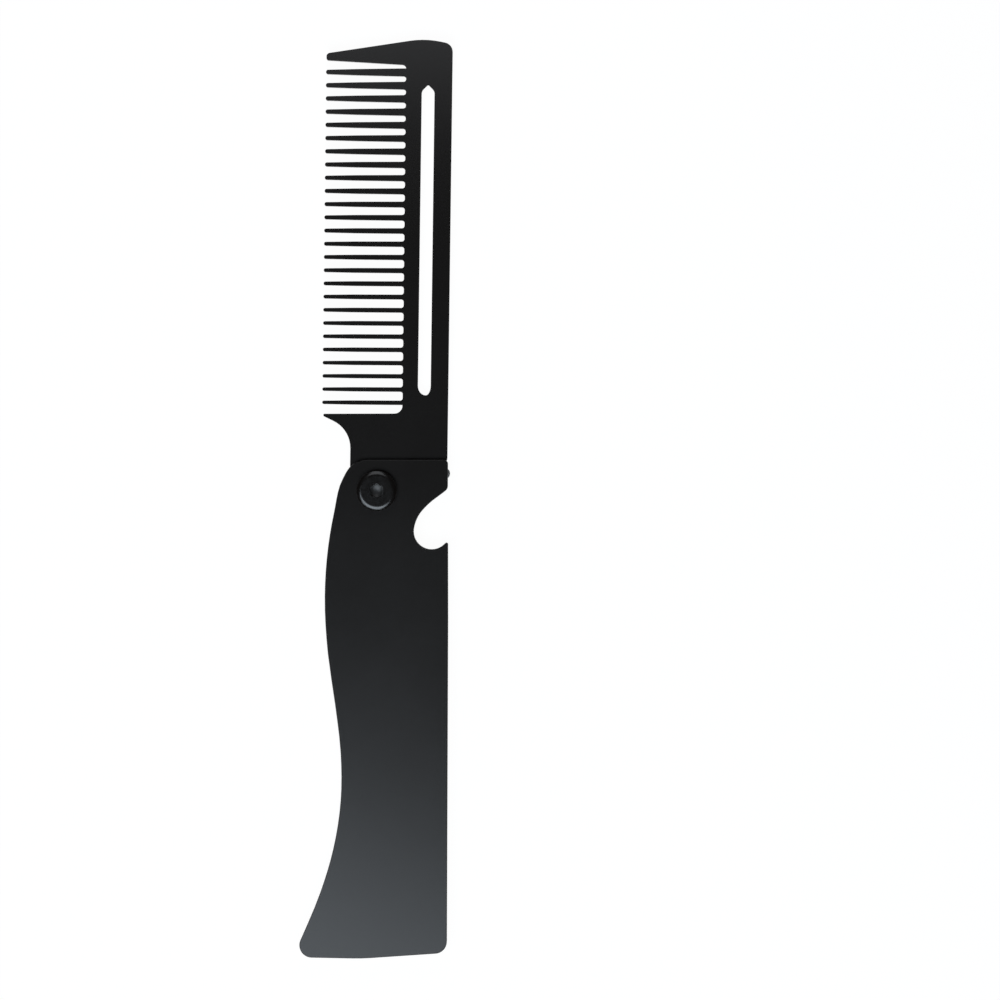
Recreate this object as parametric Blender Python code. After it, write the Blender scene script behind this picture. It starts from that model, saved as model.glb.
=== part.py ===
"""Folding pocket comb of black-coated sheet steel, with a bottle opener in its handle.

The comb lies open on its back. X runs across it, towards the straight back of the handle, Y runs along
it, towards the comb's tip, and Z is up. The origin is on the pivot's axis, in the flat face of the rear
head, which is what the comb rests on. The comb turns about Z, and closes by half a turn.
"""

import math

import bmesh
import bpy
from mathutils import Matrix, Vector
from mathutils.geometry import interpolate_bezier

MM = 0.001

# Fits and fineness
GAP = 0.3 * MM                  # between pieces that rest on each other
RUNNING_GAP = 0.1 * MM          # between the barrel and the comb that turns on it
CHORD_ERROR = 0.012 * MM        # how far a facet may cut inside a true curve
EDGE_BREAK = 0.08 * MM          # chamfer along the handle plates' edges
RIM_ANGLE = math.radians(60.0)  # edges sharper than this are rims that get the chamfer
CREASE_ANGLE = math.radians(35.0)
MERGE_DISTANCE = 0.001 * MM

# Thicknesses, from the resting face up
REAR_HEAD_THICKNESS = 0.9 * MM
PLATE_THICKNESS = 1.0 * MM
COMB_THICKNESS = 1.2 * MM
FRONT_HEAD_THICKNESS = 1.5 * MM

REAR_PLATE_BOTTOM = REAR_HEAD_THICKNESS + GAP
REAR_PLATE_TOP = REAR_PLATE_BOTTOM + PLATE_THICKNESS
COMB_BOTTOM = REAR_PLATE_TOP + GAP
COMB_TOP = COMB_BOTTOM + COMB_THICKNESS
FRONT_PLATE_BOTTOM = COMB_TOP + GAP
FRONT_PLATE_TOP = FRONT_PLATE_BOTTOM + PLATE_THICKNESS
FRONT_HEAD_BOTTOM = FRONT_PLATE_TOP + GAP

# Pivot
HEAD_RADIUS = 4.0 * MM
HEAD_FLAT_RADIUS = 3.2 * MM     # the front head is flat up to here, and then falls in an arc to its rim
HEAD_EDGE_RADIUS = 1.3 * MM
HEAD_EDGE_STEPS = 5
REAR_HEAD_CHAMFER = 0.3 * MM
SOCKET_ACROSS_FLATS = 2.5 * MM
SOCKET_DEPTH = 0.9 * MM
SHANK_RADIUS = 1.4 * MM
BARREL_RADIUS = 2.3 * MM
BORE_RADIUS = SHANK_RADIUS + GAP
BORE_FLOOR = REAR_HEAD_THICKNESS
PIVOT_SIDES = 40

# Handle plates
HANDLE_TOP = 6.24 * MM
HEEL_CORNER_Y = -92.26 * MM
BACK_EDGE_TOP = 14.24 * MM      # the back edge leans in slightly towards the heel
BACK_EDGE_HEEL = 14.0 * MM
BACK_EDGE_BOW = (14.27 * MM, -26.0 * MM, 300.0 * MM)    # and bows out slightly below the notch
TOP_CORNER_RADIUS = 0.8 * MM
HEEL_CORNER_RADIUS = 2.4 * MM
HEEL_BELLY = (-3.0 * MM, -93.4 * MM, 40.0 * MM)        # lowest point of the heel, and its roundness
TOE_CORNER = (-16.85 * MM, -93.12 * MM, 2.5 * MM)

# The handle's front edge, in millimetres: the neck round the pivot, the belly, the waist and the flare
FRONT_EDGE_KNOTS = [
    (-1.8, 6.24), (-4.9, 5.2), (-6.85, 2.3),
    (-8.53, -4.3), (-9.68, -11.0), (-10.37, -21.0),
    (-9.75, -32.5), (-8.3, -42.7), (-7.2, -52.3),
    (-7.2, -61.9), (-8.7, -71.6), (-11.2, -80.0), (-15.1, -89.4),
]
FRONT_EDGE_START = (-1.0, 0.0)
FRONT_EDGE_END = (-0.40, -0.92)

# Opener notch: a round pocket with a hook below its mouth, and a long sloping lip above
POCKET_CENTRE = (10.96 * MM, -8.07 * MM)
POCKET_RADIUS = 3.58 * MM
POCKET_HOOK_ANGLE = math.radians(-46.0)
POCKET_LIP_ANGLE = math.radians(-188.0)
LIP_KNOTS = [(8.24, -5.1), (10.22, -2.7), (13.0, -0.52)]    # in millimetres
LIP_END_DIRECTION = (0.79, 0.61)
LIP_CORNER = (14.2 * MM, 0.4 * MM, 1.3 * MM)
HOOK_TIP = (14.25 * MM, -9.9 * MM, 0.32 * MM)

# Back spacer and stop pin
SPACER_WIDTH = 2.35 * MM
SPACER_TOP = -12.5 * MM
SPACER_BOTTOM = -91.3 * MM
SPACER_INSET = 0.2 * MM         # how far it lies inside the plates' back edge
SPACER_CORNER_RADIUS = 0.8 * MM
STOP_PIN_X = 13.45 * MM
STOP_PIN_Y = 3.5 * MM
STOP_PIN_RADIUS = 1.2 * MM
STOP_PIN_SIDES = 24

# Comb, drawn square to its own back, and then leant about the pivot as the stop pin lets it open
OPEN_LEAN = math.radians(-0.75)
COMB_BACK = 14.03 * MM
TANG_RADIUS = 5.41 * MM
TANG_FILLET = 1.0 * MM
SHOULDER_RADIUS = 2.0 * MM

TOOTH_COUNT = 26
TOOTH_PITCH = 2.642 * MM
FIRST_TOOTH_Y = 83.68 * MM      # the tooth next to the tip
TOOTH_TIP_X = (-11.24 * MM, -11.15 * MM)        # at the comb's tip, and at its waist
TOOTH_TIP_DROP = 0.04 * MM      # the teeth slope very slightly, down from root to tip
TOOTH_ROOT_RISE = 0.07 * MM
TOOTH_ROOT_X = (4.78 * MM, 4.92 * MM)
TOOTH_TIP_WIDTHS = (0.87 * MM, 0.67 * MM)
TOOTH_ROOT_WIDTHS = (1.62 * MM, 0.88 * MM)
TOOTH_ROOT_EASE = 1.8           # how fast the roots thin out down the comb
TOOTH_BELLY_X = -5.0 * MM       # the teeth swell a little here, past a straight taper
TOOTH_BELLY = 0.09 * MM
GAP_CORNER_RADIUS = 0.5 * MM
GAP_CORNER_SHARE = 0.45         # of a gap's width, where the gap is narrower
TOOTH_TIP_ROUNDING = 0.48       # of a tooth's width at its tip

# Corners of the guards, the tip and the waist: x, y and rounding radius, in millimetres
TIP_CORNERS = [
    (14.03, 89.52, 1.9), (8.55, 90.6, 17.5), (-11.2, 87.37, 0.7), (-11.18, 85.97, 0.45),
]
UPPER_GUARD_ROOT = (TOOTH_ROOT_X[0], 85.22 * MM, 0.8 * MM)
NARROW_CORNER_RADIUS = 0.12 * MM    # the end teeth's corners that face a guard
WAIST_CORNERS = [
    (-10.87, 15.3, 0.2), (-10.87, 14.84, 0.18), (-5.41, 12.26, 6.0),
]
LOWER_GUARD_ROOT = (TOOTH_ROOT_X[1], 15.55 * MM, 1.65 * MM)

# Long slot along the comb's back: pointed at the tip end, half an ellipse at the other
SLOT_X = 9.22 * MM
SLOT_HALF_WIDTH = 1.28 * MM
SLOT_APEX_Y = 81.36 * MM
SLOT_APEX_RADIUS = 0.25 * MM
SLOT_SHOULDER_RADIUS = 1.2 * MM
SLOT_END_Y = 19.25 * MM
SLOT_END_HEIGHT = 1.9 * MM
SLOT_END_SKEW = 0.3 * MM        # how far its lowest point lies towards the comb's back
SLOT_END_STEPS = 12

# Colours, linear, with roughness and metallic
BLACK_COAT = ((0.0105, 0.011, 0.012), 0.42, 0.0)
BLACK_SCREW = ((0.012, 0.012, 0.013), 0.30, 0.0)
BARE_STEEL = ((0.52, 0.51, 0.49), 0.34, 1.0)


def clear_scene():
    """Empty the scene that the script runs in."""
    for item in list(bpy.data.objects):
        bpy.data.objects.remove(item, do_unlink=True)


def make_material(name, finish):
    """A material of one colour, roughness and metallic value."""
    colour, roughness, metallic = finish
    material = bpy.data.materials.new(name)
    material.use_nodes = True
    shader = material.node_tree.nodes["Principled BSDF"]
    shader.inputs["Base Color"].default_value = (*colour, 1.0)
    shader.inputs["Roughness"].default_value = roughness
    shader.inputs["Metallic"].default_value = metallic
    material.diffuse_color = (*colour, 1.0)
    return material


def in_metres(corners):
    """Corners given in millimetres, as metres."""
    return [tuple(value * MM for value in corner) for corner in corners]


def arc(centre, radius, start, end):
    """Points along an arc, both ends included, as fine as CHORD_ERROR asks."""
    step = 2.0 * math.acos(1.0 - min(CHORD_ERROR / radius, 1.0))
    count = max(2, math.ceil(abs(end - start) / step))
    angles = [start + (end - start) * i / count for i in range(count + 1)]
    return [(centre[0] + radius * math.cos(a), centre[1] + radius * math.sin(a)) for a in angles]


def rounded_outline(corners):
    """An outline through corners given as (x, y) or (x, y, radius), with each radius put in as an arc."""
    points = []
    for i, corner in enumerate(corners):
        here = Vector(corner[:2])
        if len(corner) == 2:
            points.append(tuple(here))
            continue
        to_last = (Vector(corners[i - 1][:2]) - here).normalized()
        to_next = (Vector(corners[(i + 1) % len(corners)][:2]) - here).normalized()
        half_angle = to_last.angle(to_next) / 2.0
        centre = here + (to_last + to_next).normalized() * (corner[2] / math.sin(half_angle))
        reach = corner[2] / math.tan(half_angle)
        start = here + to_last * reach - centre
        end = here + to_next * reach - centre
        start_angle = math.atan2(start.y, start.x)
        turn = math.remainder(math.atan2(end.y, end.x) - start_angle, math.tau)
        points += arc(centre, corner[2], start_angle, start_angle + turn)
    return points


def smooth_curve(knots, start_direction, end_direction):
    """Points along a smooth curve through knots, as a pen tool with automatic handles draws it."""
    knots = [Vector(knot) for knot in knots]
    directions = [Vector(start_direction).normalized()]
    for last, here, following in zip(knots, knots[1:], knots[2:]):
        before = here - last
        after = following - here
        blend = before.normalized() * after.length + after.normalized() * before.length
        directions.append(blend.normalized())
    directions.append(Vector(end_direction).normalized())

    points = []
    for i, (here, following) in enumerate(zip(knots, knots[1:])):
        reach = (following - here).length / 3.0
        handle = here + directions[i] * reach
        next_handle = following - directions[i + 1] * reach
        turn = directions[i].angle(directions[i + 1])
        count = max(3, math.ceil(math.sqrt((following - here).length * turn / CHORD_ERROR / 8.0)) + 1)
        points += interpolate_bezier(here.to_3d(), handle.to_3d(), next_handle.to_3d(),
                                     following.to_3d(), count)[:-1]
    points.append(knots[-1])
    return [(point[0], point[1]) for point in points]


def add_object(name, mesh, material):
    """Put a mesh in the scene as a named object with one material."""
    item = bpy.data.objects.new(name, mesh)
    bpy.context.scene.collection.objects.link(item)
    item.data.materials.append(material)
    return item


def sheet(name, outline, bottom, top, material):
    """A flat plate: an outline filled and drawn up from bottom to top."""
    shape = bmesh.new()
    face = shape.faces.new([shape.verts.new((x, y, bottom)) for x, y in outline])
    raised = bmesh.ops.extrude_face_region(shape, geom=[face])
    upper = [v for v in raised["geom"] if isinstance(v, bmesh.types.BMVert)]
    bmesh.ops.translate(shape, verts=upper, vec=(0.0, 0.0, top - bottom))
    bmesh.ops.recalc_face_normals(shape, faces=shape.faces)
    mesh = bpy.data.meshes.new(name)
    shape.to_mesh(mesh)
    shape.free()
    return add_object(name, mesh, material)


def turned(name, profile, sides, material):
    """A turned piece: a profile of (radius, height) points, from axis to axis, spun about Z."""
    shape = bmesh.new()
    ring = [shape.verts.new((radius, 0.0, height)) for radius, height in profile]
    edges = [shape.edges.new(pair) for pair in zip(ring, ring[1:])]
    bmesh.ops.spin(shape, geom=ring + edges, cent=(0.0, 0.0, 0.0), axis=(0.0, 0.0, 1.0),
                   angle=math.tau, steps=sides, use_merge=True, use_duplicate=False)
    bmesh.ops.remove_doubles(shape, verts=shape.verts, dist=MERGE_DISTANCE)
    bmesh.ops.recalc_face_normals(shape, faces=shape.faces)
    mesh = bpy.data.meshes.new(name)
    shape.to_mesh(mesh)
    shape.free()
    mesh.shade_smooth()
    mesh.set_sharp_from_angle(angle=CREASE_ANGLE)
    return add_object(name, mesh, material)


def cutter(name, outline, bottom, top, material):
    """A solid that only cuts others."""
    item = sheet(name, outline, bottom, top, material)
    item.hide_render = True
    item.display_type = "WIRE"
    return item


def cut(item, tool):
    """Cut a tool's shape out of an item."""
    modifier = item.modifiers.new(tool.name, "BOOLEAN")
    modifier.operation = "DIFFERENCE"
    modifier.solver = "EXACT"
    modifier.object = tool


def break_edges(item, width):
    """Chamfer an item's sharp rims."""
    modifier = item.modifiers.new("edge_break", "BEVEL")
    modifier.width = width
    modifier.segments = 1
    modifier.limit_method = "ANGLE"
    modifier.angle_limit = RIM_ANGLE


def polygon(radius, sides):
    """The corners of a regular polygon round the pivot's axis, one of them towards the comb's tip."""
    angles = [math.pi / 2.0 + math.tau * i / sides for i in range(sides)]
    return [(radius * math.cos(a), radius * math.sin(a)) for a in angles]


def back_edge_x(y):
    """Where the handle's leaning back edge is at height y."""
    share = (HANDLE_TOP - y) / (HANDLE_TOP - HEEL_CORNER_Y)
    return BACK_EDGE_TOP + (BACK_EDGE_HEEL - BACK_EDGE_TOP) * share


def notch_outline():
    """The opener notch, from its hook round the pocket to the upper end of its lip."""
    pocket = arc(POCKET_CENTRE, POCKET_RADIUS, POCKET_HOOK_ANGLE, POCKET_LIP_ANGLE)
    leaving = (math.sin(POCKET_LIP_ANGLE), -math.cos(POCKET_LIP_ANGLE))
    lip = smooth_curve([pocket[-1]] + in_metres(LIP_KNOTS), leaving, LIP_END_DIRECTION)
    return pocket + lip[1:]


def handle_outline():
    """The outline that both handle plates share, starting at the top of the front edge."""
    front_edge = smooth_curve(in_metres(FRONT_EDGE_KNOTS), FRONT_EDGE_START, FRONT_EDGE_END)
    heel = [TOE_CORNER, HEEL_BELLY, (BACK_EDGE_HEEL, HEEL_CORNER_Y, HEEL_CORNER_RADIUS)]
    top_corner = (BACK_EDGE_TOP, HANDLE_TOP, TOP_CORNER_RADIUS)
    back = [BACK_EDGE_BOW, HOOK_TIP] + notch_outline() + [LIP_CORNER, top_corner]
    return rounded_outline(front_edge + heel + back)


def handle_plate(name, bottom, material):
    """One side plate of the handle, with a hole for the pivot's barrel."""
    plate = sheet(name, handle_outline(), bottom, bottom + PLATE_THICKNESS, material)
    hole = cutter(name + "_pivot_hole", polygon(BARREL_RADIUS + GAP, PIVOT_SIDES),
                  bottom - PLATE_THICKNESS, bottom + 2.0 * PLATE_THICKNESS, material)
    cut(plate, hole)
    break_edges(plate, EDGE_BREAK)
    return plate


def tooth_size(index):
    """Where a tooth's middle is, and how wide the tooth is at its tip and at its root."""
    along = index / (TOOTH_COUNT - 1)
    centre = FIRST_TOOTH_Y - TOOTH_PITCH * index
    tip = TOOTH_TIP_WIDTHS[0] + (TOOTH_TIP_WIDTHS[1] - TOOTH_TIP_WIDTHS[0]) * along
    thickening = (1.0 - along) ** TOOTH_ROOT_EASE
    root = TOOTH_ROOT_WIDTHS[1] + (TOOTH_ROOT_WIDTHS[0] - TOOTH_ROOT_WIDTHS[1]) * thickening
    return centre, tip, root


def gap_corner_radii(index):
    """How round the gaps' inner corners are above and below a tooth. Those beside a guard are tight."""
    gap_width = TOOTH_PITCH - tooth_size(index)[2]
    radius = min(GAP_CORNER_RADIUS, GAP_CORNER_SHARE * gap_width)
    above = NARROW_CORNER_RADIUS if index == 0 else radius
    below = NARROW_CORNER_RADIUS if index == TOOTH_COUNT - 1 else radius
    return above, below


def shoulder_height():
    """How high the comb's underside lies, for its rounded shoulder to rest on the stop pin."""
    lean = Matrix.Rotation(-OPEN_LEAN, 2)
    pin = lean @ Vector((STOP_PIN_X, STOP_PIN_Y))
    across = COMB_BACK - SHOULDER_RADIUS - pin.x
    reach = SHOULDER_RADIUS + STOP_PIN_RADIUS + GAP
    return pin.y + math.sqrt(reach ** 2 - across ** 2) - SHOULDER_RADIUS


def comb_outline():
    """The comb's outline, from its back at the tip, round the teeth and the tang to the shoulder."""
    corners = in_metres(TIP_CORNERS) + [UPPER_GUARD_ROOT]
    for index in range(TOOTH_COUNT):
        centre, tip, root = tooth_size(index)
        above, below = gap_corner_radii(index)
        along = index / (TOOTH_COUNT - 1)
        tip_x = TOOTH_TIP_X[0] + (TOOTH_TIP_X[1] - TOOTH_TIP_X[0]) * along
        root_x = TOOTH_ROOT_X[0] + (TOOTH_ROOT_X[1] - TOOTH_ROOT_X[0]) * along
        root_centre = centre + TOOTH_ROOT_RISE
        tip_centre = centre - TOOTH_TIP_DROP
        share = (TOOTH_BELLY_X - tip_x) / (root_x - tip_x)
        belly = tip + (root - tip) * share + TOOTH_BELLY
        belly_centre = tip_centre + (root_centre - tip_centre) * share
        corners += [
            (root_x, root_centre + root / 2.0, above),
            (TOOTH_BELLY_X, belly_centre + belly / 2.0),
            (tip_x, tip_centre + tip / 2.0, TOOTH_TIP_ROUNDING * tip),
            (tip_x, tip_centre - tip / 2.0, TOOTH_TIP_ROUNDING * tip),
            (TOOTH_BELLY_X, belly_centre - belly / 2.0),
            (root_x, root_centre - root / 2.0, below),
        ]
    corners += [LOWER_GUARD_ROOT] + in_metres(WAIST_CORNERS)
    underside = shoulder_height()
    corners += [
        (-TANG_RADIUS, -TANG_RADIUS, TANG_RADIUS),
        (TANG_RADIUS, -TANG_RADIUS, TANG_RADIUS),
        (TANG_RADIUS, underside, TANG_FILLET),
        (COMB_BACK, underside, SHOULDER_RADIUS),
    ]
    return rounded_outline(corners)


def slot_outline():
    """The long slot beside the comb's back."""
    left = SLOT_X - SLOT_HALF_WIDTH
    right = SLOT_X + SLOT_HALF_WIDTH
    shoulder = SLOT_APEX_Y - SLOT_HALF_WIDTH
    top = [(right, shoulder, SLOT_SHOULDER_RADIUS), (SLOT_X, SLOT_APEX_Y, SLOT_APEX_RADIUS),
           (left, shoulder, SLOT_SHOULDER_RADIUS)]
    end = []
    for i in range(SLOT_END_STEPS + 1):
        angle = math.pi + math.pi * i / SLOT_END_STEPS
        skew = SLOT_END_SKEW * (1.0 - abs(math.cos(angle)))
        end.append((SLOT_X + SLOT_HALF_WIDTH * math.cos(angle) + skew,
                    SLOT_END_Y + SLOT_END_HEIGHT * (1.0 + math.sin(angle))))
    return rounded_outline(top + end)


def comb_plate(material):
    """The comb itself: one plate with its teeth, slot, waist and tang, on the pivot's axis."""
    plate = sheet("comb_plate", comb_outline(), COMB_BOTTOM, COMB_TOP, material)
    below = COMB_BOTTOM - COMB_THICKNESS
    above = COMB_TOP + COMB_THICKNESS
    slot = cutter("slot", slot_outline(), below, above, material)
    hole = cutter("comb_pivot_hole", polygon(BARREL_RADIUS + RUNNING_GAP, PIVOT_SIDES),
                  below, above, material)
    for tool in (slot, hole):
        tool.parent = plate
        cut(plate, tool)
    plate.rotation_euler.z = OPEN_LEAN
    return plate


def back_spacer(material):
    """The strip that holds the side plates apart along their back edge, below the notch."""
    top_x = back_edge_x(SPACER_TOP) - SPACER_INSET
    bottom_x = back_edge_x(SPACER_BOTTOM) - SPACER_INSET
    corners = [
        (top_x, SPACER_TOP, SPACER_CORNER_RADIUS),
        (top_x - SPACER_WIDTH, SPACER_TOP, SPACER_CORNER_RADIUS),
        (bottom_x - SPACER_WIDTH, SPACER_BOTTOM, SPACER_CORNER_RADIUS),
        (bottom_x, SPACER_BOTTOM, SPACER_CORNER_RADIUS),
    ]
    return sheet("back_spacer", rounded_outline(corners), COMB_BOTTOM, COMB_TOP, material)


def stop_pin(material):
    """The bare cross pin that the open comb's shoulder rests on."""
    pin = turned("stop_pin", [(0.0, COMB_BOTTOM), (STOP_PIN_RADIUS, COMB_BOTTOM),
                              (STOP_PIN_RADIUS, COMB_TOP), (0.0, COMB_TOP)], STOP_PIN_SIDES, material)
    pin.location = (STOP_PIN_X, STOP_PIN_Y, 0.0)
    return pin


def head_profile():
    """The front head's rim and round edge, from the rim's foot up to the flat top."""
    centre_height = FRONT_HEAD_BOTTOM + FRONT_HEAD_THICKNESS - HEAD_EDGE_RADIUS
    rim_angle = math.asin((HEAD_RADIUS - HEAD_FLAT_RADIUS) / HEAD_EDGE_RADIUS)
    profile = [(HEAD_RADIUS, FRONT_HEAD_BOTTOM)]
    for i in range(HEAD_EDGE_STEPS + 1):
        angle = rim_angle * (1.0 - i / HEAD_EDGE_STEPS)
        profile.append((HEAD_FLAT_RADIUS + HEAD_EDGE_RADIUS * math.sin(angle),
                        centre_height + HEAD_EDGE_RADIUS * math.cos(angle)))
    return profile


def pivot_screw(material):
    """The screw: a head with a round edge and a hexagon socket on the front plate, and its shank."""
    shank_end = BORE_FLOOR + GAP
    profile = [(0.0, shank_end), (SHANK_RADIUS, shank_end), (SHANK_RADIUS, FRONT_HEAD_BOTTOM)]
    profile += head_profile() + [(0.0, FRONT_HEAD_BOTTOM + FRONT_HEAD_THICKNESS)]
    screw = turned("pivot_screw", profile, PIVOT_SIDES, material)
    head_top = FRONT_HEAD_BOTTOM + FRONT_HEAD_THICKNESS
    corner_radius = SOCKET_ACROSS_FLATS / 2.0 / math.cos(math.pi / 6.0)
    socket = cutter("socket", polygon(corner_radius, 6), head_top - SOCKET_DEPTH,
                    head_top + SOCKET_DEPTH, material)
    cut(screw, socket)
    return screw


def pivot_nut(material):
    """The barrel that the comb turns on, with its flat head under the rear plate and a blind bore."""
    profile = [
        (0.0, 0.0),
        (HEAD_RADIUS - REAR_HEAD_CHAMFER, 0.0),
        (HEAD_RADIUS, REAR_HEAD_CHAMFER),
        (HEAD_RADIUS, REAR_HEAD_THICKNESS),
        (BARREL_RADIUS, REAR_HEAD_THICKNESS),
        (BARREL_RADIUS, FRONT_PLATE_TOP),
        (BORE_RADIUS, FRONT_PLATE_TOP),
        (BORE_RADIUS, BORE_FLOOR),
        (0.0, BORE_FLOOR),
    ]
    return turned("pivot_nut", profile, PIVOT_SIDES, material)


def build():
    """Make every piece of the comb where it lies."""
    clear_scene()
    black_coat = make_material("black_coat", BLACK_COAT)
    black_screw = make_material("black_screw", BLACK_SCREW)
    bare_steel = make_material("bare_steel", BARE_STEEL)

    handle_plate("rear_plate", REAR_PLATE_BOTTOM, black_coat)
    handle_plate("front_plate", FRONT_PLATE_BOTTOM, black_coat)
    comb_plate(black_coat)
    back_spacer(black_coat)
    stop_pin(bare_steel)
    pivot_screw(black_screw)
    pivot_nut(black_screw)


build()
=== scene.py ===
# %% [markdown]
# # A black folding comb on a light table
# The comb is a flat steel plate with 26 teeth. It turns on a screw between the two side plates of
# its handle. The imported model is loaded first, as a fixed frame. Each visible piece is then built
# at its place in that frame with finer edges and a real finish, because a plain model has neither.

# %% Load the frame
import math

import bmesh
import bpy
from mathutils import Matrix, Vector


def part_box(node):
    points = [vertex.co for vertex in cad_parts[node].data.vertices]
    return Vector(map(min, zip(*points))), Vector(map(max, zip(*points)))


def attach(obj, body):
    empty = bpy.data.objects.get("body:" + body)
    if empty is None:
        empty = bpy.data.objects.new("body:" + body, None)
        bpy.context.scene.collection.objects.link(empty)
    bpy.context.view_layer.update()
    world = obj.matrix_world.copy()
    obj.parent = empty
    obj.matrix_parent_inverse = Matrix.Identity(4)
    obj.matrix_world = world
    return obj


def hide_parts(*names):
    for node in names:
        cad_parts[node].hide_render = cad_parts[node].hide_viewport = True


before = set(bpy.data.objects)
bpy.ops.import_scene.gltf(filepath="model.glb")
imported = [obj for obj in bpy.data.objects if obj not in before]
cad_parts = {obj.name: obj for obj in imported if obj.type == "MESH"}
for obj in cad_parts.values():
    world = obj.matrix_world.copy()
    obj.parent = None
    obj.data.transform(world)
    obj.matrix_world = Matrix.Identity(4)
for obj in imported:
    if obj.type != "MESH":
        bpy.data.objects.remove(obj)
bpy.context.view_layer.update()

MM = 0.001

# %% [markdown]
# ## The camera
# The picture was taken from straight above, and the comb lies left of its middle. A long lens from
# far off keeps the plates' upper faces at one scale, so one pixel of the picture is 0.2 mm on them.
# A short lens would widen what stands higher.

# %% Place the camera
LENS_MM = 200.0
SENSOR_MM = 36.0
VIEW_WIDTH = 199.8 * MM          # what the picture's 1000 pixels show
VIEW_CENTRE = (24.63 * MM, -1.8 * MM)
FOCUS_HEIGHT = 4.35 * MM         # between the comb's face and the handle's face
CAMERA_DISTANCE = VIEW_WIDTH * LENS_MM / SENSOR_MM

lens = bpy.data.cameras.new("camera_above")
lens.lens = LENS_MM
lens.sensor_width = SENSOR_MM
lens.clip_start = 0.05
lens.clip_end = 20.0
camera = bpy.data.objects.new("camera_above", lens)
camera.location = (*VIEW_CENTRE, FOCUS_HEIGHT + CAMERA_DISTANCE)
bpy.context.scene.collection.objects.link(camera)
bpy.context.scene.camera = camera
print("camera height, in mm:", round(camera.location.z / MM, 1))

# %% [markdown]
# ## Colours and nodes
# Colours are picked as sRGB hex values, as on a screen, but shaders add light in linear values. One
# function turns the first into the second. Another adds a node with its settings and its links, so
# that each material reads from top to bottom.

# %% Helpers for materials


def linear(hex_colour):
    """An sRGB hex colour as linear red, green, blue and alpha."""
    parts = [int(hex_colour[i:i + 2], 16) / 255.0 for i in (1, 3, 5)]
    return [p / 12.92 if p <= 0.04045 else ((p + 0.055) / 1.055) ** 2.4 for p in parts] + [1.0]


def add_node(tree, kind, inputs=None, **settings):
    """A node of that kind. An input is a value, or the output of another node."""
    node = tree.nodes.new(kind)
    for name, value in settings.items():
        setattr(node, name, value)
    for name, value in (inputs or {}).items():
        if isinstance(value, bpy.types.NodeSocket):
            tree.links.new(value, node.inputs[name])
        else:
            node.inputs[name].default_value = value
    return node


# %% [markdown]
# ## The light table
# No shadow shows round the comb, and the ground is pure white. That is what a light table gives: a
# sheet of white acrylic, lit from below. The floor is one plane that glows by itself and also takes
# light from above, so it stays plain and pale and a faint shadow still shows from the side.

# %% Lay the floor
FLOOR_SIDE = 8.0
FLOOR_GLOW = 0.965               # the soft boxes add what it lacks of white
FLOOR_COLOUR = "#5C5D5E"         # the acrylic lets most of the light from above through


def deselect():
    """Leave edit mode and select nothing, so that the next operator acts on the new piece alone."""
    if bpy.context.mode != "OBJECT":
        bpy.ops.object.mode_set(mode="OBJECT")
    bpy.ops.object.select_all(action="DESELECT")


deselect()
bpy.ops.mesh.primitive_plane_add(size=FLOOR_SIDE, location=(0.0, 0.0, 0.0))
floor = bpy.context.object
floor.name = "light_table"
acrylic = bpy.data.materials.new("white_acrylic_lit_from_below")
acrylic.use_nodes = True
acrylic_shader = acrylic.node_tree.nodes["Principled BSDF"]
acrylic_shader.inputs["Base Color"].default_value = linear(FLOOR_COLOUR)
acrylic_shader.inputs["Roughness"].default_value = 0.9
acrylic_shader.inputs["Specular IOR Level"].default_value = 0.0
acrylic_shader.inputs["Emission Color"].default_value = linear("#FFFFFF")
acrylic_shader.inputs["Emission Strength"].default_value = FLOOR_GLOW
floor.data.materials.append(acrylic)
print("floor:", floor.name, "glows at", FLOOR_GLOW)

# %% [markdown]
# ## The room
# Satin black shows almost nothing but what it reflects. Seen from above, the plates mirror the
# ceiling, and they are nearly black there, so the ceiling is dark. The walls are pale only near the
# horizon, where they are the background from the side and put a thin light line on steep edges.
# Walls that reach higher would draw a light ring round the screw's head. The world's brightness
# runs from wall to ceiling by height.

# %% Make the room's light
WALL_LIGHT = 0.75
CEILING_LIGHT = 0.0
WALL_TOP = math.sin(math.radians(3.0))          # heights are sines of the angle above level
CEILING_START = math.sin(math.radians(18.0))

room = bpy.data.worlds.new("pale_walls_dark_ceiling")
bpy.context.scene.world = room
room.use_nodes = True
tree = room.node_tree
direction = add_node(tree, "ShaderNodeTexCoord")
height = add_node(tree, "ShaderNodeSeparateXYZ", {0: direction.outputs["Generated"]})
brightness = add_node(tree, "ShaderNodeMapRange", {
    "Value": height.outputs["Z"], "From Min": WALL_TOP, "From Max": CEILING_START,
    "To Min": WALL_LIGHT, "To Max": CEILING_LIGHT,
}, interpolation_type="SMOOTHSTEP")
background = tree.nodes["Background"]
background.inputs["Color"].default_value = linear("#FCFDFF")
tree.links.new(brightness.outputs["Result"], background.inputs["Strength"])
bpy.context.scene.view_settings.view_transform = "Standard"
print("room: walls", WALL_LIGHT, "ceiling", CEILING_LIGHT)

# %% [markdown]
# ## Two soft boxes
# The handle's tone climbs towards its heel, and the comb's tone climbs a little towards its tip.
# Both are the same thing: a satin face shows a soft box as a wide sheen that grows where the box is
# near. A strong box hangs beyond the heel and a weak one beyond the tip. The heel's box is turned a
# little, because the sheen there leans towards the handle's front edge. The boxes also draw the two
# crescents on the screw's head.

# %% Hang the soft boxes


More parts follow.
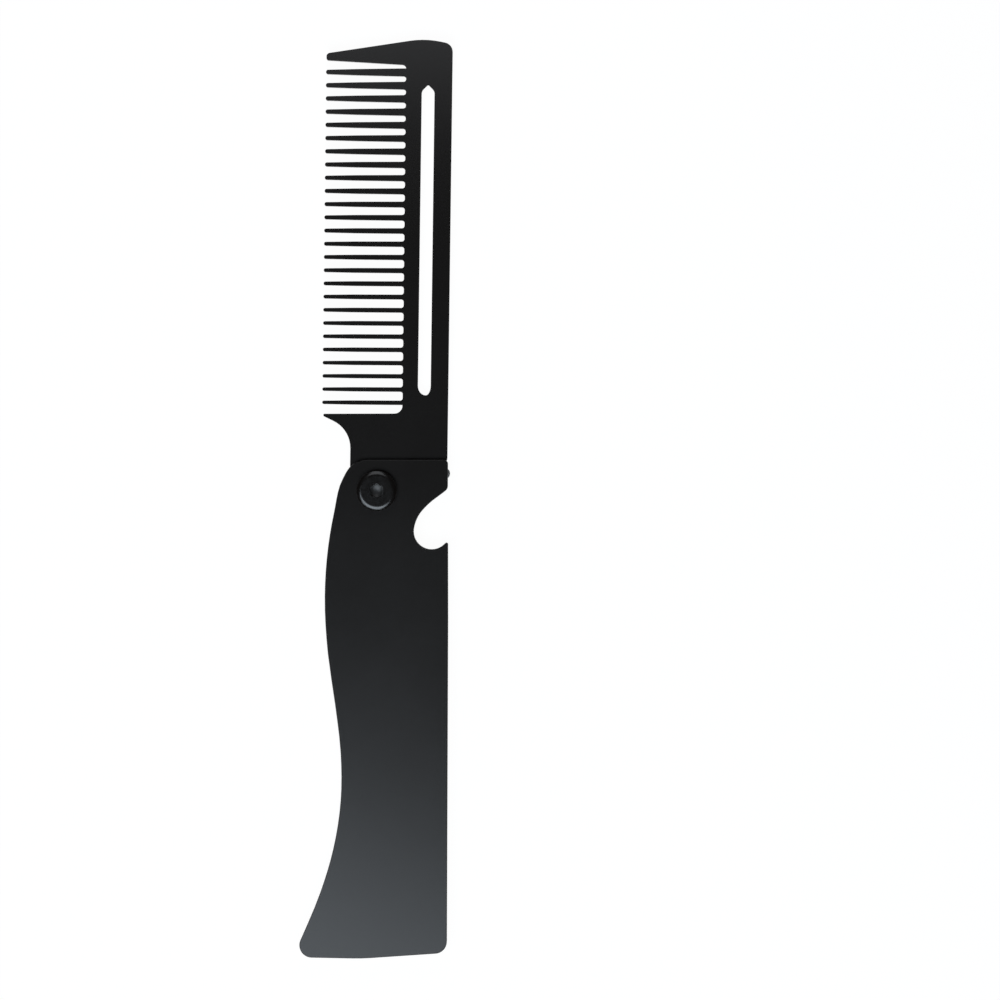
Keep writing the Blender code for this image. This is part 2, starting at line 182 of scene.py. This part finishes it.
def soft_box(name, place, aim, size, watts, colour, turn=0.0):
    """A rectangular light that faces a point, in metres, turned about that line by some degrees."""
    light = bpy.data.lights.new(name, "AREA")
    light.shape = "RECTANGLE"
    light.size, light.size_y = size
    light.energy = watts
    light.color = linear(colour)[:3]
    box = bpy.data.objects.new(name, light)
    box.location = place
    box.rotation_euler = (Vector(place) - Vector(aim)).to_track_quat("Z", "Y").to_euler()
    box.rotation_euler.rotate_axis("Z", math.radians(turn))
    box.visible_camera = False
    bpy.context.scene.collection.objects.link(box)
    print(name, "at", [round(value / MM) for value in place], "mm,", watts, "W")


soft_box("heel_soft_box", place=(-0.081, -0.260, 0.63), aim=(-0.081, -0.08, 0.0), size=(0.48, 0.316),
         watts=1.66, colour="#EAF5FF", turn=-24.0)
soft_box("tip_soft_box", place=(-0.004, 0.189, 0.216), aim=(-0.004, 0.08, 0.0), size=(0.13, 0.195),
         watts=0.071, colour="#F6F9FF")

# %% [markdown]
# ## Working by hand, in code
# An operator acts on whatever is selected, so each step first clears the selection, opens one piece
# in edit mode, and picks faces or edges by a test of their place or direction. These few helpers do
# that.

# %% Helpers for modelling
SMOOTH_ANGLE = math.radians(38.0)
SAME_HEIGHT = 0.002 * MM         # corners that differ by less are at one height
LEVEL_NORMAL = 0.99              # a level face's normal is at least this upright


def only(piece):
    """Select one object and nothing else."""
    deselect()
    piece.select_set(True)
    bpy.context.view_layer.objects.active = piece


def edit(piece):
    """Open one piece in edit mode."""
    only(piece)
    bpy.ops.object.mode_set(mode="EDIT")


def pick(kind, wanted):
    """In edit mode, select the faces or edges that pass a test, and nothing else."""
    bpy.ops.mesh.select_mode(type={"faces": "FACE", "edges": "EDGE"}[kind])
    bpy.ops.mesh.select_all(action="DESELECT")
    mesh = bpy.context.object.data
    shape = bmesh.from_edit_mesh(mesh)
    shape.normal_update()
    found = [item for item in getattr(shape, kind) if wanted(item)]
    for item in found:
        item.select_set(True)
    shape.select_flush_mode()
    bmesh.update_edit_mesh(mesh)
    return len(found)


def level(item, height):
    """Whether a face or an edge lies flat at a height."""
    return all(abs(corner.co.z - height) < SAME_HEIGHT for corner in item.verts)


def drop(edge):
    """How far an edge's ends differ in height."""
    return abs(edge.verts[0].co.z - edge.verts[1].co.z)


def apply_modifiers(piece):
    """Make a piece's modifiers part of its mesh."""
    only(piece)
    for modifier in list(piece.modifiers):
        bpy.ops.object.modifier_apply(modifier=modifier.name)


def settle(piece, name):
    """Name a piece, put its place into its mesh, and shade it so that its flat faces stay flat."""
    only(piece)
    piece.name = piece.data.name = name
    bpy.ops.object.transform_apply(location=True, rotation=True, scale=True)
    bpy.ops.object.shade_smooth_by_angle(angle=SMOOTH_ANGLE, keep_sharp_edges=False)
    weights = piece.modifiers.new("flat_faces_lead", "WEIGHTED_NORMAL")
    weights.keep_sharp = True
    weights.weight = 100             # the largest face decides how a shared corner is shaded
    apply_modifiers(piece)
    size = [round(side / MM, 2) for side in piece.dimensions]
    print(name, len(piece.data.polygons), "faces, size in mm:", size)


# %% [markdown]
# ## Plates with rounded edges
# The comb and both side plates are blanked from sheet steel and tumbled before they are coated,
# which leaves a tiny round on every edge. It is only 0.1 to 0.2 mm, but it catches a thin line of
# light, and without it a black plate looks like cut paper. The outline is already right in the
# frame, so a copy of the node's mesh is merged, its flat triangles are dissolved into whole faces,
# and only the rims are bevelled. Modelling the outline again would risk a misfit.

# %% Helpers for plates
MERGE_DISTANCE = 0.002 * MM
FLAT_ANGLE = math.radians(0.3)
RIM_ANGLE = math.radians(20.0)
RIM_LEAN = (0.05, 0.98)          # the upright part of a rounded rim's normals lies between these


def merged_copy(node, name):
    """A copy of a node's mesh as whole faces, as its own object."""
    piece = bpy.data.objects.new(name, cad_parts[node].data.copy())
    piece.data.materials.clear()
    bpy.context.scene.collection.objects.link(piece)
    edit(piece)
    bpy.ops.mesh.customdata_custom_splitnormals_clear()
    bpy.ops.mesh.select_all(action="SELECT")
    bpy.ops.mesh.remove_doubles(threshold=MERGE_DISTANCE)
    bpy.ops.mesh.dissolve_limited(angle_limit=FLAT_ANGLE)
    return piece


def is_rim(edge):
    """Whether an edge runs level along an outline, where a face turns down."""
    return drop(edge) < SAME_HEIGHT and edge.calc_face_angle(0.0) > RIM_ANGLE


def round_rims(piece, width, segments):
    """Bevel a plate's rims, and mark the new faces with a value that the coat's wear reads."""
    edit(piece)
    count = pick("edges", is_rim)
    bpy.ops.mesh.bevel(offset=width, offset_type="OFFSET", segments=segments, profile=0.5,
                       clamp_overlap=True)
    bpy.ops.object.mode_set(mode="OBJECT")
    rim = piece.data.attributes.new("rim", "FLOAT", "FACE")
    for face, value in zip(piece.data.polygons, rim.data):
        value.value = 1.0 if RIM_LEAN[0] < abs(face.normal.z) < RIM_LEAN[1] else 0.0
    print(piece.name, count, "rim edges rounded")


# %% Make the side plates
HANDLE_EDGE_WIDTH = 0.06 * MM    # on each side of the frame's own 0.08 mm chamfer
HANDLE_EDGE_SEGMENTS = 2

side_plates = []
for node, name in (("front_plate", "front_side_plate"), ("rear_plate", "rear_side_plate")):
    side_plate = merged_copy(node, name)
    round_rims(side_plate, HANDLE_EDGE_WIDTH, HANDLE_EDGE_SEGMENTS)
    settle(side_plate, name)
    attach(side_plate, "handle")
    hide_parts(node)
    side_plates.append(side_plate)

# %% Make the comb
COMB_EDGE_WIDTH = 0.13 * MM
COMB_EDGE_SEGMENTS = 3

comb = merged_copy("comb_plate", "toothed_comb")
round_rims(comb, COMB_EDGE_WIDTH, COMB_EDGE_SEGMENTS)
settle(comb, "toothed_comb")
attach(comb, "comb")
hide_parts("comb_plate")

# %% [markdown]
# ## The spacer strip
# A strip of the same steel lies between the side plates along their straight back. It shows only
# from the side and from below, as a dark line that fills the gap. It is a cube brought to size,
# with its upright corners rounded like the stamped strip's, then all its edges broken. It is as
# thick as the space between the plates.

# %% Make the spacer strip
REAR_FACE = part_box("rear_plate")[1].z       # the two plates' inner faces
FRONT_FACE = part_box("front_plate")[0].z
SPACE = FRONT_FACE - REAR_FACE
SPACE_MIDDLE = (REAR_FACE + FRONT_FACE) / 2.0
STRIP_CORNER = 0.8 * MM
STRIP_CORNER_SEGMENTS = 6
STRIP_EDGE = 0.08 * MM
STRIP_LEAN = math.radians(0.14)             # the back edge leans in towards the heel

low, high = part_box("back_spacer")
middle = (low + high) / 2.0
strip_width = high.x - low.x - (high.y - low.y) * math.sin(STRIP_LEAN)
deselect()
bpy.ops.mesh.primitive_cube_add(size=1.0, location=(middle.x, middle.y, SPACE_MIDDLE))
strip = bpy.context.object
strip.scale = (strip_width, high.y - low.y, SPACE)
bpy.ops.object.transform_apply(location=False, rotation=False, scale=True)
edit(strip)
pick("edges", lambda edge: drop(edge) > SAME_HEIGHT)
bpy.ops.mesh.bevel(offset=STRIP_CORNER, segments=STRIP_CORNER_SEGMENTS, clamp_overlap=True)
pick("edges", is_rim)
bpy.ops.mesh.bevel(offset=STRIP_EDGE, segments=1, clamp_overlap=True)
bpy.ops.object.mode_set(mode="OBJECT")
strip.rotation_euler.z = -STRIP_LEAN
settle(strip, "spacer_strip")
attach(strip, "handle")
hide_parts("back_spacer")

# %% [markdown]
# ## The stop pin
# The pin was turned from bare steel rod, and its side peeps out past the plates' edge as a light
# grey spot. It is a cylinder between the two plates. Each end is drawn in to a small shoulder, as
# where it is welded to a plate, so the pin meets the plates without a hard line.

# %% Make the stop pin
PIN_SIDES = 48
PIN_SHOULDER = 0.12 * MM

low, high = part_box("stop_pin")
middle = (low + high) / 2.0
pin_radius = (high.x - low.x) / 2.0
deselect()
bpy.ops.mesh.primitive_cylinder_add(vertices=PIN_SIDES, radius=pin_radius, depth=SPACE,
                                    location=(middle.x, middle.y, SPACE_MIDDLE))
pin = bpy.context.object
edit(pin)
pick("edges", is_rim)
bpy.ops.mesh.bevel(offset=PIN_SHOULDER, segments=2, clamp_overlap=True)
pick("faces", lambda face: abs(face.normal.z) > LEVEL_NORMAL)
bpy.ops.mesh.inset(thickness=PIN_SHOULDER, use_individual=True)
settle(pin, "steel_stop_pin")
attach(pin, "handle")
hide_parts("stop_pin")

# %% [markdown]
# ## The pivot screw
# The screw has a low round head: flat on top, then falling in an arc to a straight rim, with a
# socket for a hexagon key. It is made as by hand, from a cylinder whose top face is inset and
# raised ring by ring along that arc. The arc is what draws the two bright crescents, as each light
# shows on it once. The socket is cut by a six-sided bar, and then by a pointed drill, because a
# real socket is pressed into a drilled hole and keeps the drill's cone at its bottom. Seen from
# above, the cone's slopes are all that catches light inside the socket.

# %% Make the screw's head and shank
HEAD_SIDES = 96
HEAD_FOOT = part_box("front_plate")[1].z      # the head sits on the front plate
HEAD_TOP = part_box("pivot_screw")[1].z
HEAD_RADIUS = (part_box("pivot_screw")[1].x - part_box("pivot_screw")[0].x) / 2.0
FLAT_RADIUS = 3.0 * MM
EDGE_ARC = 2.0 * MM              # the arc from the flat to the rim, wide for broad crescents
EDGE_RINGS = 10
RIM_EDGE = 0.012 * MM            # the sharp edge between the arc and the rim, just broken
SHANK_RADIUS = 1.4 * MM
SHANK_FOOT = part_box("pivot_screw")[0].z


def edge_height(radius):
    """How high the head's upper face is at a radius, on the arc that ends at its flat."""
    return HEAD_TOP - EDGE_ARC + math.sqrt(EDGE_ARC ** 2 - (radius - FLAT_RADIUS) ** 2)


rim_height = edge_height(HEAD_RADIUS) - HEAD_FOOT
deselect()
bpy.ops.mesh.primitive_cylinder_add(vertices=HEAD_SIDES, radius=HEAD_RADIUS, depth=rim_height,
                                    location=(0.0, 0.0, HEAD_FOOT + rim_height / 2.0))
screw = bpy.context.object
bpy.ops.object.transform_apply(location=True, rotation=False, scale=False)
edit(screw)
pick("faces", lambda face: level(face, edge_height(HEAD_RADIUS)))
last_radius = HEAD_RADIUS
for ring in range(1, EDGE_RINGS + 1):
    radius = HEAD_RADIUS + (FLAT_RADIUS - HEAD_RADIUS) * ring / EDGE_RINGS
    bpy.ops.mesh.inset(thickness=(last_radius - radius) * math.cos(math.pi / HEAD_SIDES))
    bpy.ops.transform.translate(value=(0.0, 0.0, edge_height(radius) - edge_height(last_radius)))
    last_radius = radius
pick("edges", lambda edge: level(edge, edge_height(HEAD_RADIUS)))
bpy.ops.mesh.bevel(offset=RIM_EDGE, segments=2, clamp_overlap=True)
pick("faces", lambda face: level(face, HEAD_FOOT))
bpy.ops.mesh.inset(thickness=HEAD_RADIUS - SHANK_RADIUS)
bpy.ops.mesh.extrude_region_move(TRANSFORM_OT_translate={"value": (0.0, 0.0, SHANK_FOOT - HEAD_FOOT)})
bpy.ops.object.mode_set(mode="OBJECT")
print("screw head, in mm: radius", round(HEAD_RADIUS / MM, 2), "rim", round(rim_height / MM, 2))

# %% Cut the hexagon socket
SOCKET_ACROSS_FLATS = 2.5 * MM
KEY_SIDES = 6
SOCKET_DEPTH = 0.7 * MM
SOCKET_REACH = 1.5 * MM          # the radius that holds the whole socket
DRILL_RADIUS = 1.2 * MM
DRILL_PAST_KEY = 0.02 * MM       # how much deeper than the key the drill goes, before its cone
DRILL_POINT = 0.42 * MM          # how deep the drill's cone is, a slope of about 19 degrees
SOCKET_EDGE = 0.06 * MM


def carve(piece, tool):
    """Cut a tool's shape out of a piece, and put the tool away."""
    cut = piece.modifiers.new("cut", "BOOLEAN")
    cut.operation = "DIFFERENCE"
    cut.solver = "EXACT"
    cut.object = tool
    apply_modifiers(piece)
    bpy.data.objects.remove(tool, do_unlink=True)


deselect()
bpy.ops.mesh.primitive_cylinder_add(vertices=KEY_SIDES,
                                    radius=SOCKET_ACROSS_FLATS / 2.0 / math.cos(math.pi / KEY_SIDES),
                                    depth=2.0 * SOCKET_DEPTH, location=(0.0, 0.0, HEAD_TOP))
carve(screw, bpy.context.object)
deselect()
bpy.ops.mesh.primitive_cylinder_add(vertices=HEAD_SIDES // 2, radius=DRILL_RADIUS, depth=SOCKET_DEPTH,
                                    location=(0.0, 0.0, HEAD_TOP - SOCKET_DEPTH / 2.0 - DRILL_PAST_KEY))
drill = bpy.context.object
bpy.ops.object.transform_apply(location=True, rotation=False, scale=False)
edit(drill)
pick("faces", lambda face: face.normal.z < -LEVEL_NORMAL)
bpy.ops.mesh.extrude_region_move(TRANSFORM_OT_translate={"value": (0.0, 0.0, -DRILL_POINT)})
bpy.ops.mesh.merge(type="CENTER")
carve(screw, drill)
edit(screw)
socket_edges = pick("edges", lambda edge: (level(edge, HEAD_TOP)
                                           and edge.verts[0].co.xy.length < SOCKET_REACH))
bpy.ops.mesh.bevel(offset=SOCKET_EDGE, segments=2, clamp_overlap=True)
settle(screw, "button_head_screw")
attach(screw, "handle")
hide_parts("pivot_screw")
print("socket:", socket_edges, "edges broken")

# %% [markdown]
# ## The pivot nut
# Behind the rear plate, the screw goes into a nut with a flat round head and a long barrel. The
# comb turns on the barrel, and the whole tool lies on the head. The nut is turned on a lathe, so it
# is a cylinder with a chamfered edge, and its barrel and bore are drawn out of its upper face with
# insets and extrusions.

# %% Make the nut
NUT_CHAMFER = 0.3 * MM
BARREL_RADIUS = 2.3 * MM
BORE_RADIUS = 1.7 * MM
BORE_FLOOR = 0.9 * MM
NUT_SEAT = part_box("rear_plate")[0].z
NUT_RADIUS = (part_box("pivot_nut")[1].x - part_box("pivot_nut")[0].x) / 2.0
BARREL_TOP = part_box("pivot_nut")[1].z

deselect()
bpy.ops.mesh.primitive_cylinder_add(vertices=HEAD_SIDES, radius=NUT_RADIUS, depth=NUT_SEAT,
                                    location=(0.0, 0.0, NUT_SEAT / 2.0))
nut = bpy.context.object
bpy.ops.object.transform_apply(location=True, rotation=False, scale=False)
edit(nut)
pick("edges", lambda edge: level(edge, 0.0))
bpy.ops.mesh.bevel(offset=NUT_CHAMFER, segments=3, clamp_overlap=True)
pick("faces", lambda face: level(face, NUT_SEAT))
bpy.ops.mesh.inset(thickness=NUT_RADIUS - BARREL_RADIUS)
bpy.ops.mesh.extrude_region_move(TRANSFORM_OT_translate={"value": (0.0, 0.0, BARREL_TOP - NUT_SEAT)})
bpy.ops.mesh.inset(thickness=BARREL_RADIUS - BORE_RADIUS)
bpy.ops.mesh.extrude_region_move(TRANSFORM_OT_translate={"value": (0.0, 0.0, BORE_FLOOR - BARREL_TOP)})
bpy.ops.object.mode_set(mode="OBJECT")
settle(nut, "barrel_nut")
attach(nut, "handle")
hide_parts("pivot_nut")

# %% [markdown]
# ## Satin black coat on steel
# The plates are stainless steel, tumbled and then coated black. The coat is thin and even, so the
# eye gets three things: near black with a wide soft sheen, a very fine grain from the tumbling, and
# slow clouds where the coat is a little glossier. On the rounded edges it is thinnest, and the
# steel starts to show through in short spots. A clear coat over metal would glare, so this is one
# rough layer with the common index of a lacquer.

# %% Helpers for finishes


def new_finish(name):
    """A new material, its node tree, its shader, and the place on the piece that its patterns read."""
    finish = bpy.data.materials.new(name)
    finish.use_nodes = True
    place = add_node(finish.node_tree, "ShaderNodeTexCoord").outputs["Object"]
    return finish, finish.node_tree, finish.node_tree.nodes["Principled BSDF"], place


def put_on(finish, *pieces):
    """Give pieces one finish and no other."""
    for piece in pieces:
        piece.data.materials.clear()
        piece.data.materials.append(finish)
    print(finish.name, "on", ", ".join(piece.name for piece in pieces))


# %% Mix the satin black coat
CLOUD_SIZE = 22.0 * MM
GRAIN_SIZE = 0.7 * MM       # the real grain is about 0.05 mm, drawn coarser so that it shows at all
GRAIN_GLOSS = 0.03          # how much rougher the grain's peaks are
GRAIN_DEPTH = 0.01 * MM
SPOT_SIZE = 1.6 * MM

coat, tree, shader, place = new_finish("satin_black_coat_on_tumbled_steel")
clouds = add_node(tree, "ShaderNodeTexNoise", {
    "Vector": place, "Scale": 1.0 / CLOUD_SIZE, "Detail": 3.0, "Roughness": 0.55,
})
grain = add_node(tree, "ShaderNodeTexNoise", {
    "Vector": place, "Scale": 1.0 / GRAIN_SIZE, "Detail": 2.0, "Roughness": 0.6,
})
spots = add_node(tree, "ShaderNodeTexNoise", {
    "Vector": place, "Scale": 1.0 / SPOT_SIZE, "Detail": 4.0, "Roughness": 0.65,
})
rim = add_node(tree, "ShaderNodeAttribute", attribute_name="rim")
spot_share = add_node(tree, "ShaderNodeMapRange", {
    "Value": spots.outputs["Fac"], "From Min": 0.5, "From Max": 0.8, "To Min": 0.0, "To Max": 0.5,
})
wear = add_node(tree, "ShaderNodeMath", {
    0: rim.outputs["Fac"], 1: spot_share.outputs["Result"],
}, operation="MULTIPLY")
coat_tone = add_node(tree, "ShaderNodeMix", {
    "Factor": clouds.outputs["Fac"], "A": linear("#221F1D"), "B": linear("#262321"),
}, data_type="RGBA")
worn_tone = add_node(tree, "ShaderNodeMix", {
    "Factor": wear.outputs["Value"], "A": coat_tone.outputs["Result"], "B": linear("#353536"),
}, data_type="RGBA")
cloud_gloss = add_node(tree, "ShaderNodeMapRange", {
    "Value": clouds.outputs["Fac"], "From Min": 0.3, "From Max": 0.7, "To Min": 0.19, "To Max": 0.21,
})
grain_gloss = add_node(tree, "ShaderNodeMath", {
    0: grain.outputs["Fac"], 1: GRAIN_GLOSS, 2: cloud_gloss.outputs["Result"],
}, operation="MULTIPLY_ADD")
tumbled = add_node(tree, "ShaderNodeBump", {
    "Height": grain.outputs["Fac"], "Strength": 0.15, "Distance": GRAIN_DEPTH,
})
tree.links.new(worn_tone.outputs["Result"], shader.inputs["Base Color"])
tree.links.new(grain_gloss.outputs["Value"], shader.inputs["Roughness"])
tree.links.new(tumbled.outputs["Normal"], shader.inputs["Normal"])
shader.inputs["IOR"].default_value = 1.5
put_on(coat, *side_plates, comb, strip)

# %% [markdown]
# ## Black oxide on the screw and the nut
# Both were turned on a lathe and blackened in a hot salt bath. Black oxide is thinner than the
# coat, and mirrors more, since it is iron oxide and not a lacquer. It also keeps the lathe's marks,
# so the material has fine rings round the axis. They are drawn 0.25 mm apart, several times the
# real feed, because finer ones don't show. The socket was pressed and not turned, so it is rougher
# than the rest.

# %% Mix the black oxide
RING_PITCH = 0.25 * MM
RING_DEPTH = 0.004 * MM
BLOOM_SIZE = 0.9 * MM            # the size of the blotches that the salt bath leaves
SOCKET_START = HEAD_TOP - SOCKET_DEPTH / 3.0    # the socket's wall below this height, and its floor
SOCKET_ROUGHER = 0.20            # what is added to the roughness there

oxide, tree, shader, place = new_finish("black_oxide_on_turned_steel")
parts = add_node(tree, "ShaderNodeSeparateXYZ", {0: place})
flat_place = add_node(tree, "ShaderNodeCombineXYZ", {"X": parts.outputs["X"], "Y": parts.outputs["Y"]})
radius = add_node(tree, "ShaderNodeVectorMath", {0: flat_place.outputs["Vector"]}, operation="LENGTH")
phase = add_node(tree, "ShaderNodeMath", {
    0: radius.outputs["Value"], 1: math.tau / RING_PITCH,
}, operation="MULTIPLY")
rings = add_node(tree, "ShaderNodeMath", {0: phase.outputs["Value"]}, operation="SINE")
bloom = add_node(tree, "ShaderNodeTexNoise", {
    "Vector": place, "Scale": 1.0 / BLOOM_SIZE, "Detail": 4.0, "Roughness": 0.6,
})
oxide_tone = add_node(tree, "ShaderNodeMix", {
    "Factor": bloom.outputs["Fac"], "A": linear("#181513"), "B": linear("#1E1B19"),
}, data_type="RGBA")
oxide_gloss = add_node(tree, "ShaderNodeMapRange", {
    "Value": bloom.outputs["Fac"], "From Min": 0.3, "From Max": 0.7, "To Min": 0.17, "To Max": 0.22,
})
in_reach = add_node(tree, "ShaderNodeMath", {
    0: radius.outputs["Value"], 1: SOCKET_REACH,
}, operation="LESS_THAN")
below_top = add_node(tree, "ShaderNodeMath", {
    0: parts.outputs["Z"], 1: SOCKET_START,
}, operation="LESS_THAN")
in_socket = add_node(tree, "ShaderNodeMath", {
    0: in_reach.outputs["Value"], 1: below_top.outputs["Value"],
}, operation="MULTIPLY")
pressed_gloss = add_node(tree, "ShaderNodeMath", {
    0: in_socket.outputs["Value"], 1: SOCKET_ROUGHER, 2: oxide_gloss.outputs["Result"],
}, operation="MULTIPLY_ADD")
turned = add_node(tree, "ShaderNodeBump", {
    "Height": rings.outputs["Value"], "Strength": 0.04, "Distance": RING_DEPTH,
})
tree.links.new(oxide_tone.outputs["Result"], shader.inputs["Base Color"])
tree.links.new(pressed_gloss.outputs["Value"], shader.inputs["Roughness"])
tree.links.new(turned.outputs["Normal"], shader.inputs["Normal"])
shader.inputs["IOR"].default_value = 1.7
put_on(oxide, screw, nut)

# %% [markdown]
# ## Bare steel on the stop pin
# The pin is plain ground steel rod, the only uncoated metal, so it is a true metal here: its colour
# tints what it mirrors. Grinding leaves fine lines round it, drawn as a noise that is squeezed
# along the pin's axis.

# %% Mix the bare steel
GRIND_LINE = 0.08 * MM
GRIND_LENGTH = 2.0 * MM
GRIND_DEPTH = 0.005 * MM

steel, tree, shader, place = new_finish("ground_steel_rod")
squeeze = add_node(tree, "ShaderNodeMapping", {
    "Vector": place, "Scale": (1.0 / GRIND_LENGTH, 1.0 / GRIND_LENGTH, 1.0 / GRIND_LINE),
})
lines = add_node(tree, "ShaderNodeTexNoise", {
    "Vector": squeeze.outputs["Vector"], "Scale": 1.0, "Detail": 3.0,
})
steel_tone = add_node(tree, "ShaderNodeMix", {
    "Factor": lines.outputs["Fac"], "A": linear("#A9A8A5"), "B": linear("#C6C5C2"),
}, data_type="RGBA")
steel_gloss = add_node(tree, "ShaderNodeMapRange", {
    "Value": lines.outputs["Fac"], "From Min": 0.3, "From Max": 0.7, "To Min": 0.26, "To Max": 0.40,
})
ground = add_node(tree, "ShaderNodeBump", {
    "Height": lines.outputs["Fac"], "Strength": 0.15, "Distance": GRIND_DEPTH,
})
tree.links.new(steel_tone.outputs["Result"], shader.inputs["Base Color"])
tree.links.new(steel_gloss.outputs["Result"], shader.inputs["Roughness"])
tree.links.new(ground.outputs["Normal"], shader.inputs["Normal"])
shader.inputs["Metallic"].default_value = 1.0
put_on(steel, pin)
